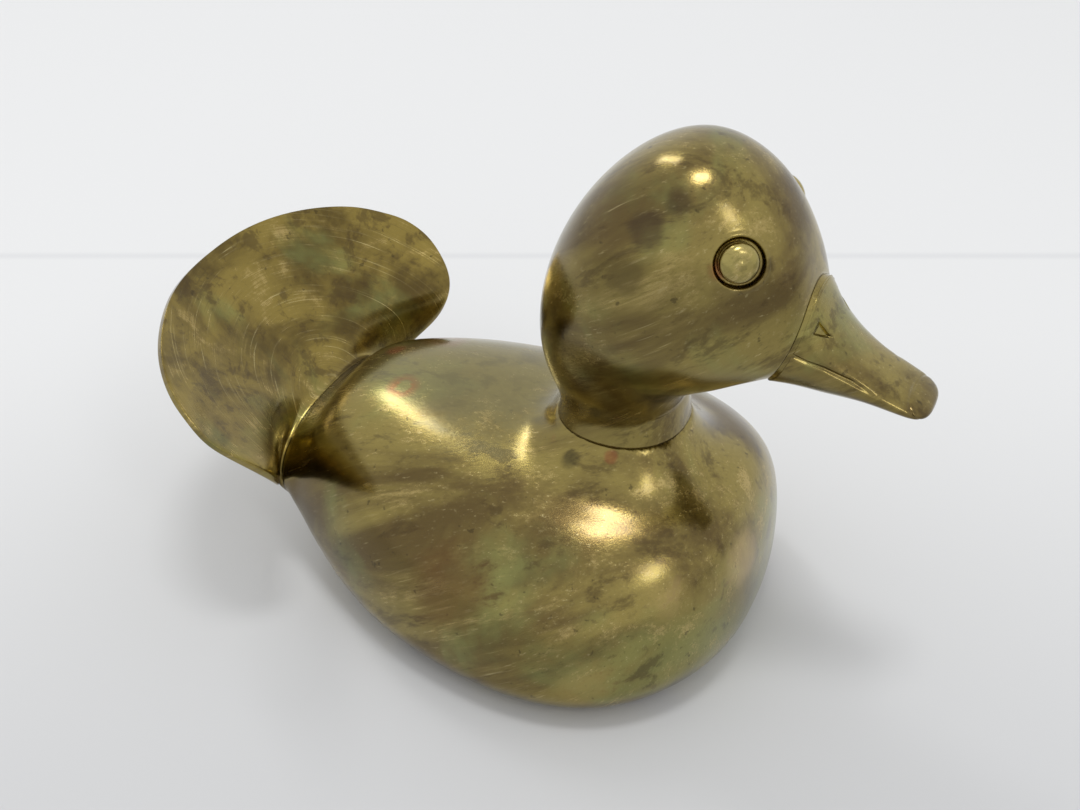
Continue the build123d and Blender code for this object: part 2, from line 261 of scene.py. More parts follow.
def bend_through(places: np.ndarray, values: np.ndarray) -> Callable[[np.ndarray], np.ndarray]:
    """Smooth curve through values at rising places.

    Args:
        places: the parameter of each row.
        values: one row of numbers for each place.

    Returns:
        A function from parameters to rows.
    """
    count = len(places)
    gaps = np.diff(places)
    system, right = np.zeros((count, count)), np.zeros_like(values)
    system[0, 0] = system[-1, -1] = 1.0
    for k in range(1, count - 1):
        system[k, k - 1:k + 2] = gaps[k - 1], 2 * (gaps[k - 1] + gaps[k]), gaps[k]
        right[k] = 6 * ((values[k + 1] - values[k]) / gaps[k] - (values[k] - values[k - 1]) / gaps[k - 1])
    curve = np.linalg.solve(system, right)

    def at(where: np.ndarray) -> np.ndarray:
        """Rows at the given parameters."""
        k = np.clip(np.searchsorted(places, where, side="right") - 1, 0, count - 2)
        gap = gaps[k][:, None]
        low, high = (places[k + 1] - where)[:, None], (where - places[k])[:, None]
        bend = curve[k] * low**3 / (6 * gap) + curve[k + 1] * high**3 / (6 * gap)
        line = (values[k] / gap - curve[k] * gap / 6) * low + (values[k + 1] / gap - curve[k + 1] * gap / 6) * high
        return bend + line

    return at


@dataclass(frozen=True)
class Section:
    """One cut of a casting, square to the middle plane, with places (x, z) in millimetres.

    front and back are the cut's two points on the middle plane, side the place of its widest points, and centre
    the place from which both halves swell.
    """

    centre: tuple[float, float]
    front: tuple[float, float]
    back: tuple[float, float]
    side: tuple[float, float]
    half_width: float
    fullness: float

    def row(self) -> list[float]:
        """The section's numbers in order."""
        return [*self.centre, *self.front, *self.back, *self.side, self.half_width, self.fullness]


def upright(x: float, half_width: float, top: float, girth: float, keel: float, fullness: float) -> Section:
    """A cut square to the body's length."""
    return Section((x, girth), (x, top), (x, keel), (x, girth), half_width, fullness)


def leaning(
    x: float, z: float, lean: float, half_width: float, up: float, down: float, fullness: float
) -> Section:
    """A cut whose height leans.

    Args:
        x: place of its centre along the duck, in millimetres.
        z: height of its centre.
        lean: direction of its height in degrees, 0 straight back, 90 straight up and 180 forwards.
        half_width: half its width.
        up: how far it reaches along its height.
        down: how far it reaches the other way.
        fullness: 2 for an ellipse, more for a squarer cut.

    Returns:
        The section.
    """
    back, lift = -math.cos(math.radians(lean)), math.sin(math.radians(lean))
    front = (x + up * back, z + up * lift)
    return Section((x, z), front, (x - down * back, z - down * lift), (x, z), half_width, fullness)


class Form:
    """A smooth skin through sections."""

    def __init__(
        self, sections: Sequence[Section], first: int = 0, rounded_end: bool = False, even: bool = False
    ) -> None:
        """Lay the skin's curves.

        Args:
            sections: the cuts in order, the last one a point if the end is rounded.
            first: the section where the piece starts; those before it only guide the curve.
            rounded_end: True closes the skin in a round tip at the last section.
            even: True gives each gap between sections the same length of parameter.
        """
        rows = np.array([section.row() for section in sections])
        last = len(rows) - 1
        if rounded_end:
            mirrored = rows[-2:-4:-1].copy()
            mirrored[:, 2:4] = 2 * mirrored[:, 0:2] - mirrored[:, 2:4]
            mirrored[:, 4:6] = 2 * mirrored[:, 0:2] - mirrored[:, 4:6]
            mirrored[:, 8] *= -1
            rows = np.vstack([rows, mirrored])
        steps = np.diff(rows[:, [0, 1, 2, 3, 4, 5, 8]], axis=0)
        lengths = np.ones(len(steps)) if even else np.sqrt((steps**2).sum(1) / 3)
        places = np.concatenate([[0.0], np.cumsum(lengths)])
        self.at = bend_through(places, rows)
        self.start, self.end = places[first], places[last]

    def points(self, places: np.ndarray, turns: np.ndarray, thin: np.ndarray | float = 1.0) -> np.ndarray:
        """Points of the skin in millimetres.

        Args:
            places: parameters along the skin.
            turns: angles round each section, from the left side over the front.
            thin: share that remains of each section's thickness.

        Returns:
            Array of places by turns by 3.
        """
        rows = self.at(places)[:, :, None]
        across = np.cos(turns)
        fullness = rows[:, 9]
        swell = np.maximum(1 - np.abs(across) ** fullness, 0) ** (1 / fullness) * np.reshape(thin, (-1, 1))
        ahead = np.sin(turns) >= 0
        plane = []
        for k in (0, 1):
            centre, front, back, side = rows[:, k], rows[:, 2 + k], rows[:, 4 + k], rows[:, 6 + k]
            half = np.where(ahead, front - centre, back - centre)
            plane.append(centre + (side - centre) * across**2 + half * swell)
        return np.stack([plane[0], rows[:, 8] * across + 0 * plane[0], plane[1]], -1)


def crowded(
    low: float, high: float, count: int, centres: Sequence[float], spread: float, extra: float
) -> np.ndarray:
    """Rising values whose spacing is closer near some centres.

    Args:
        low: the first value.
        high: the last value.
        count: how many values there are.
        centres: where they crowd.
        spread: how far a crowd reaches.
        extra: how much closer they are there, as a share of the plain density.

    Returns:
        The values in rising order.
    """
    fine = np.linspace(low, high, FINE_STEPS)
    weight = 1 + extra * sum(np.exp(-(((fine - centre) / spread) ** 2)) for centre in centres)
    total = np.concatenate([[0], np.cumsum((weight[1:] + weight[:-1]) / 2)])
    return np.interp(np.linspace(0, total[-1], count), total, fine)


def smooth(share: np.ndarray) -> np.ndarray:
    """A share held between 0 and 1 with soft ends."""
    held = np.clip(share, 0, 1)
    return held * held * (3 - 2 * held)


class Workshop:
    """Turns points into named meshes on the frame and keeps the shift between drawing and frame."""

    def __init__(self, neck_x: float) -> None:
        """Find the shift from the place of the neck's stud."""
        low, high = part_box("neck_stud")
        self.shift = (low.x + high.x) / 2 / MM - neck_x

    def metres(self, points: np.ndarray) -> np.ndarray:
        """Drawing millimetres to metres in the frame."""
        return (np.asarray(points, float) + np.array([self.shift, 0, 0])) * MM

    def tube(self, build: bmesh.types.BMesh, points: np.ndarray, closed_start: bool, closed_end: bool) -> None:
        """Add a tube of quads through rings of points, each end closed by a fan or a round tip.

        Args:
            build: the mesh under construction.
            points: rings by turns by 3, in drawing millimetres.
            closed_start: True closes the first ring.
            closed_end: True closes the last ring.
        """
        rings = [[build.verts.new(p) for p in self.metres(ring)] for ring in points]
        count = len(rings[0])
        for low, high in zip(rings, rings[1:]):
            for k in range(count):
                j = (k + 1) % count
                build.faces.new((low[k], low[j], high[j], high[k]))
        for ring, closed in ((rings[0], closed_start), (rings[-1], closed_end)):
            if closed:
                middle = build.verts.new(sum((v.co for v in ring), Vector()) / count)
                for k in range(count):
                    build.faces.new((ring[k], ring[(k + 1) % count], middle))

    def piece(self, name: str, build: bmesh.types.BMesh, material: bpy.types.Material, nodes: Sequence[str],
              merge: float = 1e-6) -> bpy.types.Object:
        """Close a mesh and put it on the frame.

        Args:
            name: the piece's name.
            build: its mesh, freed here.
            material: its finish.
            nodes: the CAD nodes that it stands for.
            merge: distance in metres below which points join.

        Returns:
            The finished object.
        """
        bmesh.ops.remove_doubles(build, verts=build.verts, dist=merge)
        bmesh.ops.recalc_face_normals(build, faces=build.faces)
        mesh = bpy.data.meshes.new(name)
        build.to_mesh(mesh)
        build.free()
        mesh.materials.append(material)
        mesh.shade_smooth()
        made = bpy.data.objects.new(name, mesh)
        bpy.context.scene.collection.objects.link(made)
        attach(made, "root")
        if nodes:
            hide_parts(*nodes)
        LOG.info("%s: %d faces", name, len(mesh.polygons))
        return made


# ---- finishes ----


@dataclass(frozen=True)
class Stain:
    """A round, soft-edged patch of another colour at a place in drawing millimetres.

    inner is the radius of its clear middle, if it is a ring. ragged, core and hole are shares of its radii: how
    uneven the edge is, where the full colour ends and where the clear middle ends.
    """

    place: tuple[float, float, float]
    radius: float
    colour: str
    share: float
    inner: float = 0.0
    ragged: float = 1.3
    core: float = 0.45
    hole: float = 0.6


BODY_STAINS = (
    Stain((-27.0, 14.5, 40.0), 6.5, "A0683F", 0.75, 3.0), Stain((-27.0, 14.5, 40.0), 2.4, "86A08C", 0.8),
    Stain((-34.0, 6.0, 39.0), 3.2, "A8502C", 0.65), Stain((-25.0, -6.0, 40.0), 4.0, "A04A2A", 0.6, 2.0),
    Stain((-12.0, 5.0, 41.0), 26.0, "87805A", 0.6), Stain((0.0, -34.0, 22.0), 12.0, "5C3B1C", 0.55),
    Stain((8.0, -11.5, 43.0), 1.5, "8F4E2E", 0.5), Stain((20.5, -12.5, 43.0), 1.5, "8F4E2E", 0.5),
    Stain((13.0, -15.0, 42.0), 2.6, "2C2818", 0.6), Stain((34.0, -22.0, 24.0), 7.0, "C9AE72", 0.5),
    Stain((43.0, -8.0, 24.0), 7.0, "CDB27A", 0.45), Stain((25.0, -33.0, 12.0), 8.0, "B99C5C", 0.4),
)
HEAD_STAINS = (
    Stain((13.5, -9.0, 80.0), 3.6, "A85A3A", 0.7), Stain((8.5, -9.5, 72.0), 2.2, "A0502C", 0.6),
    Stain((38.0, -14.0, 87.0), 2.6, "8F4A2C", 0.6), Stain((26.0, -15.5, 92.0), 4.0, "4A3A24", 0.7),
    Stain((30.0, -13.0, 97.0), 3.0, "40321E", 0.6), Stain((24.0, -17.5, 84.0), 5.0, "5A4A28", 0.5),
)


@dataclass(frozen=True)
class AgedBrass:
    """Old brass with tarnish clouds, rubbed gold patches, green film and fine scratches."""

    name: str
    shift: float
    base: str = "948448"
    dark: str = "63522C"
    gold: str = "CDB478"
    green: str = "8C9558"
    pale: str = "E3D5A0"
    brown: str = "4A3A1E"
    dull: str = "4A3E20"
    speck: str = "3A3018"
    gold_share: float = 0.5
    green_share: float = 0.5
    scratch_share: float = 0.3
    brown_share: float = 0.55
    dull_share: float = 0.3
    speck_share: float = 0.55
    scratch_turn: tuple[float, float, float] = (0.0, 35.0, 0.0)
    streak_scale: tuple[float, float, float] = (0.35, 1.6, 1.6)
    scratch_scale: tuple[float, float, float] = (45.0, 1700.0, 1700.0)
    roughness: float = 0.22
    coat: float = 0.35
    coat_roughness: float = 0.16
    bump: float = 0.11
    bump_distance: float = 0.0004
    arcs: bool = False
    # Middle (x, y, z) of the polishing rings in drawing millimetres, rings to a millimetre and their waver
    arc_middle: tuple[float, float, float] = (-48.0, 0.0, 24.0)
    arc_rate: float = 2.4
    arc_waver: float = 4.0
    arc_across: float = 60.0
    stains: tuple[Stain, ...] = ()

    def material(self) -> bpy.types.Material:
        """Build the finish."""
        paint = Painter(self.name)
        place = paint.place()
        streaks = paint.mapped(self.scratch_turn, self.streak_scale)
        clouds = paint.noise(streaks, scale=34, detail=5, warp=0.5, rough=0.6)
        blotches = paint.noise(streaks, scale=95, detail=6, warp=0.3, rough=0.7)
        films = paint.noise(place, scale=36, detail=4, warp=0.4, rough=0.6)
        specks = paint.noise(place, scale=520, detail=3, warp=0.2, rough=0.6)
        if self.arcs:
            brushed = self._arc_marks(paint)
        else:
            lines = paint.mapped(self.scratch_turn, self.scratch_scale)
            brushed = paint.noise(lines, scale=1.0, detail=3, rough=0.8)
        colour = paint.blend(clouds.step(0.40, 0.66), rgb(self.base), rgb(self.dark))
        colour = paint.blend(films.step(0.50, 0.70) * self.green_share, colour, rgb(self.green))
        rubbed = (blotches * 0.72 + brushed * 0.28).step(0.52, 0.66) * clouds.step(0.62, 0.46) * self.gold_share
        colour = paint.blend(rubbed, colour, rgb(self.gold))
        colour = paint.blend(brushed.step(0.58, 0.76) * self.scratch_share, colour, rgb(self.pale))
        colour = paint.blend(blotches.step(0.47, 0.37) * self.brown_share, colour, rgb(self.brown))
        colour = paint.blend(brushed.step(0.42, 0.30) * self.dull_share, colour, rgb(self.dull))
        colour = paint.blend(specks.step(0.66, 0.72) * self.speck_share, colour, rgb(self.speck))
        for stain in self.stains:
            colour = self._stained(paint, colour, stain, blotches)
        rough = self.roughness + (blotches - 0.5) * 0.2 + (brushed - 0.5) * 0.18 + rubbed * 0.1
        height = brushed * 0.5 + blotches * 0.6 + films * 0.6
        relief = {"Strength": self.bump, "Distance": self.bump_distance, "Height": height}
        return paint.finish(
            Base_Color=colour, Metallic=1.0, Roughness=rough, Normal=paint.node("ShaderNodeBump", {}, relief),
            Coat_Weight=self.coat, Coat_Roughness=self.coat_roughness,
        )

    def _placed(self, place: Sequence[float]) -> tuple[float, float, float]:
        """Drawing millimetres to metres in the frame."""
        x, y, z = place
        return (x + self.shift) * MM, y * MM, z * MM

    def _arc_marks(self, paint: Painter) -> Wire:
        """Polishing marks in rings round the foot of the fan.

        Args:
            paint: the material under construction.

        Returns:
            The marks, from 0 to 1.
        """
        across = paint.node("ShaderNodeSeparateXYZ", {}, {0: paint.place()}, 1)
        waver = paint.noise(paint.place(), scale=22, detail=2) * self.arc_waver
        ring = paint.distance(self._placed(self.arc_middle)) * self.arc_rate + waver
        place = paint.node("ShaderNodeCombineXYZ", {}, {0: ring, 1: across * self.arc_across, 2: 0.0})
        return paint.noise(place, scale=1.0, detail=3, rough=0.75)

    def _stained(self, paint: Painter, colour: Wire, stain: Stain, blotches: Wire) -> Wire:
        """Lay one stain over a colour.

        Args:
            paint: the material under construction.
            colour: the colour below.
            stain: what is laid over it.
            blotches: noise that makes its edge ragged.

        Returns:
            The stained colour.
        """
        ragged = (blotches - 0.5) * stain.radius * stain.ragged
        away = paint.distance(self._placed(stain.place)) + ragged
        share = away.step(stain.radius, stain.radius * stain.core)
        if stain.inner:
            share = share * away.step(stain.inner * stain.hole, stain.inner)
        return paint.blend(share * stain.share, colour, rgb(stain.colour))


@dataclass(frozen=True)
class PlatedSteel:
    """Dull plated steel of the hidden fasteners."""

    name: str = "plated_steel"
    base: str = "8A8983"
    dull: str = "6B6862"
    roughness: float = 0.38

    def material(self) -> bpy.types.Material:
        """Build the finish."""
        paint = Painter(self.name)
        cloud = paint.noise(paint.place(), scale=300, detail=3)
        colour = paint.blend(cloud, rgb(self.base), rgb(self.dull))
        return paint.finish(Base_Color=colour, Metallic=1.0, Roughness=self.roughness + cloud * 0.1)


# ---- castings ----


@dataclass
class Body:
    """Hollow egg-shaped body that stands on its rim, with the flare that carries the neck."""

    fullness: float = 2.35
    rear_x: float = -46.0
    wall: float = 3.0
    seat_height: float = 44.5
    neck_x: float = 17.95
    neck_half: float = 12.0
    neck_fullness: float = 2.2
    flare_width: float = 11.0
    boss_radius: float = 8.0
    boss_depth: float = 16.0
    tail_boss_radius: float = 7.5
    tail_boss_length: float = 5.5
    tail_boss_place: tuple[float, float] = (-45.0, 20.5)
    boss_length: float = 12.0
    boss_turns: int = 48
    flare_power: float = 3.2
    inner_coarseness: int = 3
    rings: int = 170
    turns: int = 320
    cuts: tuple[tuple[float, ...], ...] = (
        (-47.6, 20.3, 30.9, 20.6, 11.6), (-46.0, 20.0, 30.5, 20.5, 10.5), (-44.4, 20.4, 31.3, 19.3, 8.4),
        (-42.2, 21.3, 33.4, 17.5, 5.4), (-39.5, 22.8, 36.3, 15.7, 2.6), (-34.0, 26.0, 39.1, 13.0, -1.0),
        (-21.0, 33.0, 40.9, 10.0, -4.0), (-2.0, 39.0, 40.3, 9.0, -5.0), (17.9, 40.0, 39.4, 9.0, -5.0),
        (32.9, 33.8, 37.4, 10.0, -3.0), (42.1, 22.6, 33.2, 12.0, 1.0), (45.7, 10.6, 24.0, 14.0, 6.0),
        (46.4, 0.0, 15.0, 15.0, 15.0),
    )

    def form(self, inset: float = 0.0) -> Form:
        """Skin of the body from the tail joint to the breast, drawn in by inset.

        Args:
            inset: how far the skin lies inside the outer one, in millimetres.

        Returns:
            The skin.
        """
        length = self.cuts[-1][0] - self.rear_x
        sections = []
        for x, half, top, girth, keel in self.cuts:
            place = self.rear_x + inset + (x - self.rear_x) * (length - 2 * inset) / length
            drawn = inset if half else 0.0
            sections.append(upright(place, half - drawn, top - drawn, girth, keel, self.fullness))
        return Form(sections, first=1, rounded_end=True)

    def flared(self, points: np.ndarray) -> np.ndarray:
        """Raise the back to the neck's seat in a hollow curve.

        Args:
            points: rings by turns by 3, in drawing millimetres.

        Returns:
            The same array with the rise.
        """
        raised = points.copy()
        x, y, z = (points[..., k] for k in range(3))
        across = (np.abs(x - self.neck_x) / self.neck_half) ** self.neck_fullness
        across = (across + (np.abs(y) / self.neck_half) ** self.neck_fullness) ** (1 / self.neck_fullness)
        away = np.clip((across - 1) * self.neck_half / self.flare_width, 0, 1)
        top = z > self.seat_height / 2
        rise = np.maximum(self.seat_height - z, 0) * (1 - away) ** self.flare_power
        raised[..., 2] = np.where(top, z + rise, z)
        return raised

    def build(self, shop: Workshop, material: bpy.types.Material) -> bpy.types.Object:
        """Make the shell: outer and inner skins cut at the rim and joined there, with both bosses.

        Args:
            shop: puts the piece on the frame.
            material: its finish.

        Returns:
            The finished object.
        """
        turns = np.linspace(0, FULL_TURN, self.turns, endpoint=False)
        build = bmesh.new()
        for inset, coarseness in ((0.0, 1), (self.wall, self.inner_coarseness)):
            form = self.form(inset)
            places = np.linspace(form.start, form.end, self.rings // coarseness)
            points = form.points(places, turns[::coarseness])
            if not inset:
                points = self.flared(points)
            part = bmesh.new()
            shop.tube(part, points, True, False)
            bmesh.ops.remove_doubles(part, verts=part.verts, dist=1e-6)
            bmesh.ops.bisect_plane(
                part, geom=part.verts[:] + part.edges[:] + part.faces[:], plane_co=(0, 0, 0), plane_no=(0, 0, 1),
                clear_inner=True, dist=1e-7,
            )
            self._add(build, part)
        self._close_rim(build)
        for base, axis, radius, length in self.bosses():
            self._add_boss(build, shop, base, axis, radius, length)
        return shop.piece("body_casting", build, material, ["body_shell"])

    def bosses(self) -> list[tuple[Vector, Vector, float, float]]:
        """Base, direction, radius and length of the two bosses."""
        x, z = self.tail_boss_place
        neck = Vector((self.neck_x, 0, self.seat_height - self.boss_depth))
        return [
            (neck, Vector((0, 0, 1)), self.boss_radius, self.boss_length),
            (Vector((x, 0, z)), Vector((1, 0, 0)), self.tail_boss_radius, self.tail_boss_length),
        ]

    @staticmethod
    def _close_rim(build: bmesh.types.BMesh) -> None:
        """Join the outer and inner skins with the flat ring that the body stands on.

        Args:
            build: the mesh with both skins.
        """
        build.verts.index_update()
        left = {vert for edge in build.edges if edge.is_boundary for vert in edge.verts}
        loops: list[list[bmesh.types.BMVert]] = []
        while left:
            vert, loop = left.pop(), []
            while vert is not None:
                loop.append(vert)
                left.discard(vert)
                ends = [edge.other_vert(vert) for edge in vert.link_edges if edge.is_boundary]
                vert = next((end for end in ends if end in left), None)
            loops.append(loop)
        bands = [sorted((math.atan2(v.co.y, v.co.x), v.index, v) for v in loop)
                 for loop in sorted(loops, key=len)[-2:]]
        at = [0, 0]
        while at[0] < len(bands[0]) or at[1] < len(bands[1]):
            step = 0 if Body._next_turn(bands[0], at[0]) <= Body._next_turn(bands[1], at[1]) else 1
            band, across = bands[step], bands[1 - step]
            here, after = band[at[step] % len(band)][2], band[(at[step] + 1) % len(band)][2]
            build.faces.new((here, after, across[at[1 - step] % len(across)][2]))
            at[step] += 1

    @staticmethod
    def _next_turn(band: list[tuple[float, int, bmesh.types.BMVert]], at: int) -> float:
        """Angle of the point after a place in a band, endless once the band is used up.

        Args:
            band: points with their angles, in rising order.
            at: the place.

        Returns:
            The angle.
        """
        if at >= len(band):
            return math.inf
        return band[at + 1][0] if at + 1 < len(band) else band[0][0] + FULL_TURN

    @staticmethod
    def _add(build: bmesh.types.BMesh, part: bmesh.types.BMesh) -> None:
        """Move a part's faces into the mesh under construction and free it.

        Args:
            build: the mesh under construction.
            part: the part, which is freed.
        """
        mesh = bpy.data.meshes.new("part")
        part.to_mesh(mesh)
        part.free()
        build.from_mesh(mesh)
        bpy.data.meshes.remove(mesh)

    def _add_boss(
        self, build: bmesh.types.BMesh, shop: Workshop, base: Vector, axis: Vector, radius: float, length: float
    ) -> None:
        """Add one round boss.

        Args:
            build: the mesh under construction.
            shop: turns places into metres.
            base: middle of its foot.
            axis: its direction.
            radius: its radius.
            length: its length.
        """
        first = axis.orthogonal().normalized()
        second = axis.cross(first)
        turns = np.linspace(0, FULL_TURN, self.boss_turns, endpoint=False)
        rim = [base + radius * (math.cos(t) * first + math.sin(t) * second) for t in turns]
        shop.tube(build, np.array([[tuple(p + axis * d) for p in rim] for d in (0.0, length)]), True, True)


@dataclass
class Tail:
    """Wide dished fan on a trumpet root, drawn by its front, back and side lines."""

    half_thickness: float = 0.95
    edge_fullness: float = 9.0
    rings: int = 220
    turns: int = 300
    # Front, back and side places with the half width and fullness, from the joint up to the fan's widest part
    root_rows: tuple[tuple[float, ...], ...] = (
        (-44.6, 30.8, -43.0, 9.3, -45.2, 20.2, 20.3, 2.35), (-46.05, 30.5, -46.05, 10.5, -46.05, 20.5, 20.0, 2.35),
        (-47.7, 30.7, -49.2, 12.3, -46.4, 21.4, 20.5, 2.35), (-49.3, 31.7, -52.0, 15.8, -44.9, 23.9, 22.6, 2.4),
        (-50.9, 33.1, -54.0, 20.5, -41.8, 27.1, 26.6, 2.5), (-52.4, 34.7, -55.4, 25.5, -38.6, 30.3, 30.6, 2.9),
        (-54.0, 36.4, -56.6, 30.3, -37.2, 33.6, 33.7, 3.7), (-55.9, 38.4, -58.2, 35.0, -38.3, 37.2, 36.6, 5.0),
        (-58.2, 40.8, -60.2, 38.7, -41.6, 40.7, 39.0, 6.5), (-60.6, 43.3, -62.2, 41.9, -45.8, 44.0, 40.4, 8.0),
    )
    # Height and forward place of the sides, half width and how much lower the sides are than the middle
    blade_rows: tuple[tuple[float, ...], ...] = (
        (68.8, -2.3, 39.5, 8.0), (73.0, -3.9, 37.5, 6.3), (77.5, -5.6, 34.1, 4.4), (82.0, -7.7, 28.6, 2.7),
        (86.0, -9.8, 21.0, 1.3), (88.8, -11.8, 11.7, 0.35), (89.7, -12.6, 0.0, 0.0),
    )
    blade_middle: float = -12.6
    rim_crowd: tuple[float, float] = (0.5, 3.0)
    side_crowd: tuple[float, float] = (0.25, 2.0)
    rim_power: int = 4

    def sections(self) -> list[Section]:
        """Cuts from the body's rear, as a guide, through the root and up the fan."""
        cuts = []
        for fx, fz, bx, bz, sx, sz, half_width, fullness in self.root_rows:
            centre = ((fx + bx) / 2, (fz + bz) / 2)
            cuts.append(Section(centre, (fx, fz), (bx, bz), (sx, sz), half_width, fullness))
        for height, forward, half_width, lower in self.blade_rows:
            centre = self.placed(height + lower, self.blade_middle)
            thick = self.half_thickness
            front = self.placed(height + lower, self.blade_middle + thick)
            back = self.placed(height + lower, self.blade_middle - thick)
            cuts.append(Section(centre, front, back, self.placed(height, forward), half_width, self.edge_fullness))
        return cuts

    @staticmethod
    def placed(height: float, forward: float) -> tuple[float, float]:
        """The place (x, z) of a height up the leaning fan and a distance square to it."""
        return (forward - height) * math.sqrt(0.5), (forward + height) * math.sqrt(0.5)

    def build(self, shop: Workshop, material: bpy.types.Material) -> bpy.types.Object:
        """Make the fan.

        Args:
            shop: puts the piece on the frame.
            material: its finish.

        Returns:
            The finished object.
        """
        form = Form(self.sections(), first=1, rounded_end=True, even=True)
        places = crowded(form.start, form.end, self.rings, (form.end,), *self.rim_crowd)
        thin = np.sqrt(1 - (1 - np.clip(form.end - places, 0, 1)) ** self.rim_power)
        turns = crowded(0, FULL_TURN, self.turns, (0, math.pi, FULL_TURN), *self.side_crowd)[:-1]
        build = bmesh.new()
        shop.tube(build, form.points(places, turns, thin), True, False)
        return shop.piece("tail_casting", build, material, ["tail_fan"])


@dataclass
class Head:
    """Head and neck in one casting, with the two eye seats."""

    fullness: float = 2.2
    throat: tuple[float, float] = (38.5, 48.5)
    neck_x: float = 17.95
    neck_half: float = 12.0
    waist_half: float = 11.64
    foot_height: float = 44.55
    full_turn: float = 110.5
    eye_turn: float = 93.3
    eye_reach: float = 39.8
    seat_radius: float = 3.95
    seat_depth: float = 1.0
    seat_blend: float = 0.4
    seat_reach: tuple[float, float] = (9.0, 6.0)
    lip_height: float = 0.3
    lip_place: float = 0.5
    lip_width: float = 0.4
    search_steps: int = 600
    place_crowd: tuple[float, float] = (4.5, 2.2)
    turn_crowd: tuple[float, float] = (0.22, 2.2)
    bulge: float = 2.0
    bulge_reach: float = 6.0
    bulge_limit: float = 12.0
    rings: int = 250
    turns: int = 340
    # Share of the full turn, throat radius, reach and half width
    rows: tuple[tuple[float, float, float, float], ...] = (
        (0.12, 9.5, 35.75, 13.2), (0.27, 9.69, 40.9, 15.0), (0.42, 9.4, 45.95, 17.3), (0.57, 9.2, 51.3, 18.5),
        (0.72, 9.7, 54.0, 17.9), (0.87, 11.2, 47.0, 13.8), (1.00, 13.8, 34.6, 9.3),
    )

    def section(self, turn: float, inner: float, outer: float, half_width: float) -> Section:
        """A cut of the head in the plane through the throat line.

        Args:
            turn: how far round the throat line, in degrees.
            inner: distance of its near edge from that line.
            outer: distance of its far edge.
            half_width: half its width.

        Returns:
            The section.
        """
        middle, angle = (inner + outer) / 2, math.radians(turn)
        x, z = self.throat[0] - middle * math.cos(angle), self.throat[1] + middle * math.sin(angle)
        half = (outer - inner) / 2
        return leaning(x, z, turn, half_width, half, half, self.fullness)

    def form(self) -> Form:
        """Skin of the head from the neck's foot to the bill."""
        cuts = [
            leaning(self.neck_x, height, 0, half, half, half, self.fullness)
            for height, half in ((self.foot_height, self.neck_half), (self.throat[1], self.waist_half))
        ]
        cuts += [self.section(share * self.full_turn, *rest) for share, *rest in self.rows]
        return Form(cuts)

    def eye_frame(self, form: Form) -> tuple[float, float, np.ndarray, np.ndarray]:
        """Find the right eye on the skin.

        Returns:
            Its place and turn on the skin, its centre and the outward normal there, in drawing millimetres.
        """
        angle = math.radians(self.eye_turn)
        target = np.array([self.throat[0] - self.eye_reach * math.cos(angle),
                           self.throat[1] + self.eye_reach * math.sin(angle)])
        places = np.linspace(form.start, form.end, self.search_steps)
        turns = np.linspace(math.pi / 2, 3 * math.pi / 2, self.search_steps)
        grid = form.points(places, turns)
        off = ((grid[..., [0, 2]] - target) ** 2).sum(-1)
        i, j = np.unravel_index(off.argmin(), off.shape)
        normal = np.cross(grid[i + 1, j] - grid[i - 1, j], grid[i, j + 1] - grid[i, j - 1])
        normal /= np.linalg.norm(normal)
        if normal[1] > 0:
            normal = -normal
        return places[i], turns[j], grid[i, j], normal

    def bulged(self, points: np.ndarray) -> np.ndarray:
        """Carry the bill's joint forwards at its sides, which fades out to both sides of it.

        Args:
            points: places in drawing millimetres, with 3 numbers each.

        Returns:
            The same array with the bulge.
        """
        share, inner, outer, half_width = self.rows[-1]
        angle = math.radians(share * self.full_turn)
        x, z = self.section(share * self.full_turn, inner, outer, half_width).centre
        ahead = np.array([math.sin(angle), 0, math.cos(angle)])
        away = (points - np.array([x, 0, z])) @ ahead
        side = np.clip(np.abs(points[..., 1]) / half_width, 0, 1) ** 2
        height = points[..., 2] - z
        near = np.exp(-((away / self.bulge_reach) ** 2))
        near = near * (np.abs(height) < outer - inner) * (away > -self.bulge_limit)
        return points + (self.bulge * side * near)[..., None] * ahead

    def seated(self, points: np.ndarray, centre: np.ndarray, normal: np.ndarray) -> np.ndarray:
        """Sink a flat round seat with a thin proud lip into the skin.

        Args:
            points: places in drawing millimetres, with 3 numbers each.
            centre: middle of the seat.
            normal: outward direction there.

        Returns:
            The same array with the seat.
        """
        away = points - centre
        height = away @ normal
        radius = np.sqrt(np.maximum((away**2).sum(-1) - height**2, 0))
        near = (radius < self.seat_reach[0]) & (np.abs(height) < self.seat_reach[1])
        inside = smooth((self.seat_radius - radius) / self.seat_blend + 0.5)
        lip = self.lip_height * np.exp(-(((radius - self.seat_radius - self.lip_place) / self.lip_width) ** 2))
        move = np.where(near, inside * (-self.seat_depth - height) + lip * (1 - inside), 0)
        return points + move[..., None] * normal

    def build(self, shop: Workshop, material: bpy.types.Material) -> bpy.types.Object:
        """Make the head.

        Args:
            shop: puts the piece on the frame.
            material: its finish.

        Returns:
            The finished object.
        """
        form = self.form()
        place, turn, centre, normal = self.eye_frame(form)
        places = crowded(form.start, form.end, self.rings, (place,), *self.place_crowd)
        eyes = (turn, 3 * math.pi - turn, math.pi - turn)
        turns = crowded(0, FULL_TURN, self.turns, eyes, *self.turn_crowd)[:-1]
        points = form.points(places, turns)
        for side in Side:
            flip = np.array([1, -side.value, 1])
            points = self.seated(points, centre * flip, normal * flip)
        build = bmesh.new()
        shop.tube(build, self.bulged(points), True, True)
        return shop.piece("head_casting_skin", build, material, ["head_casting"])


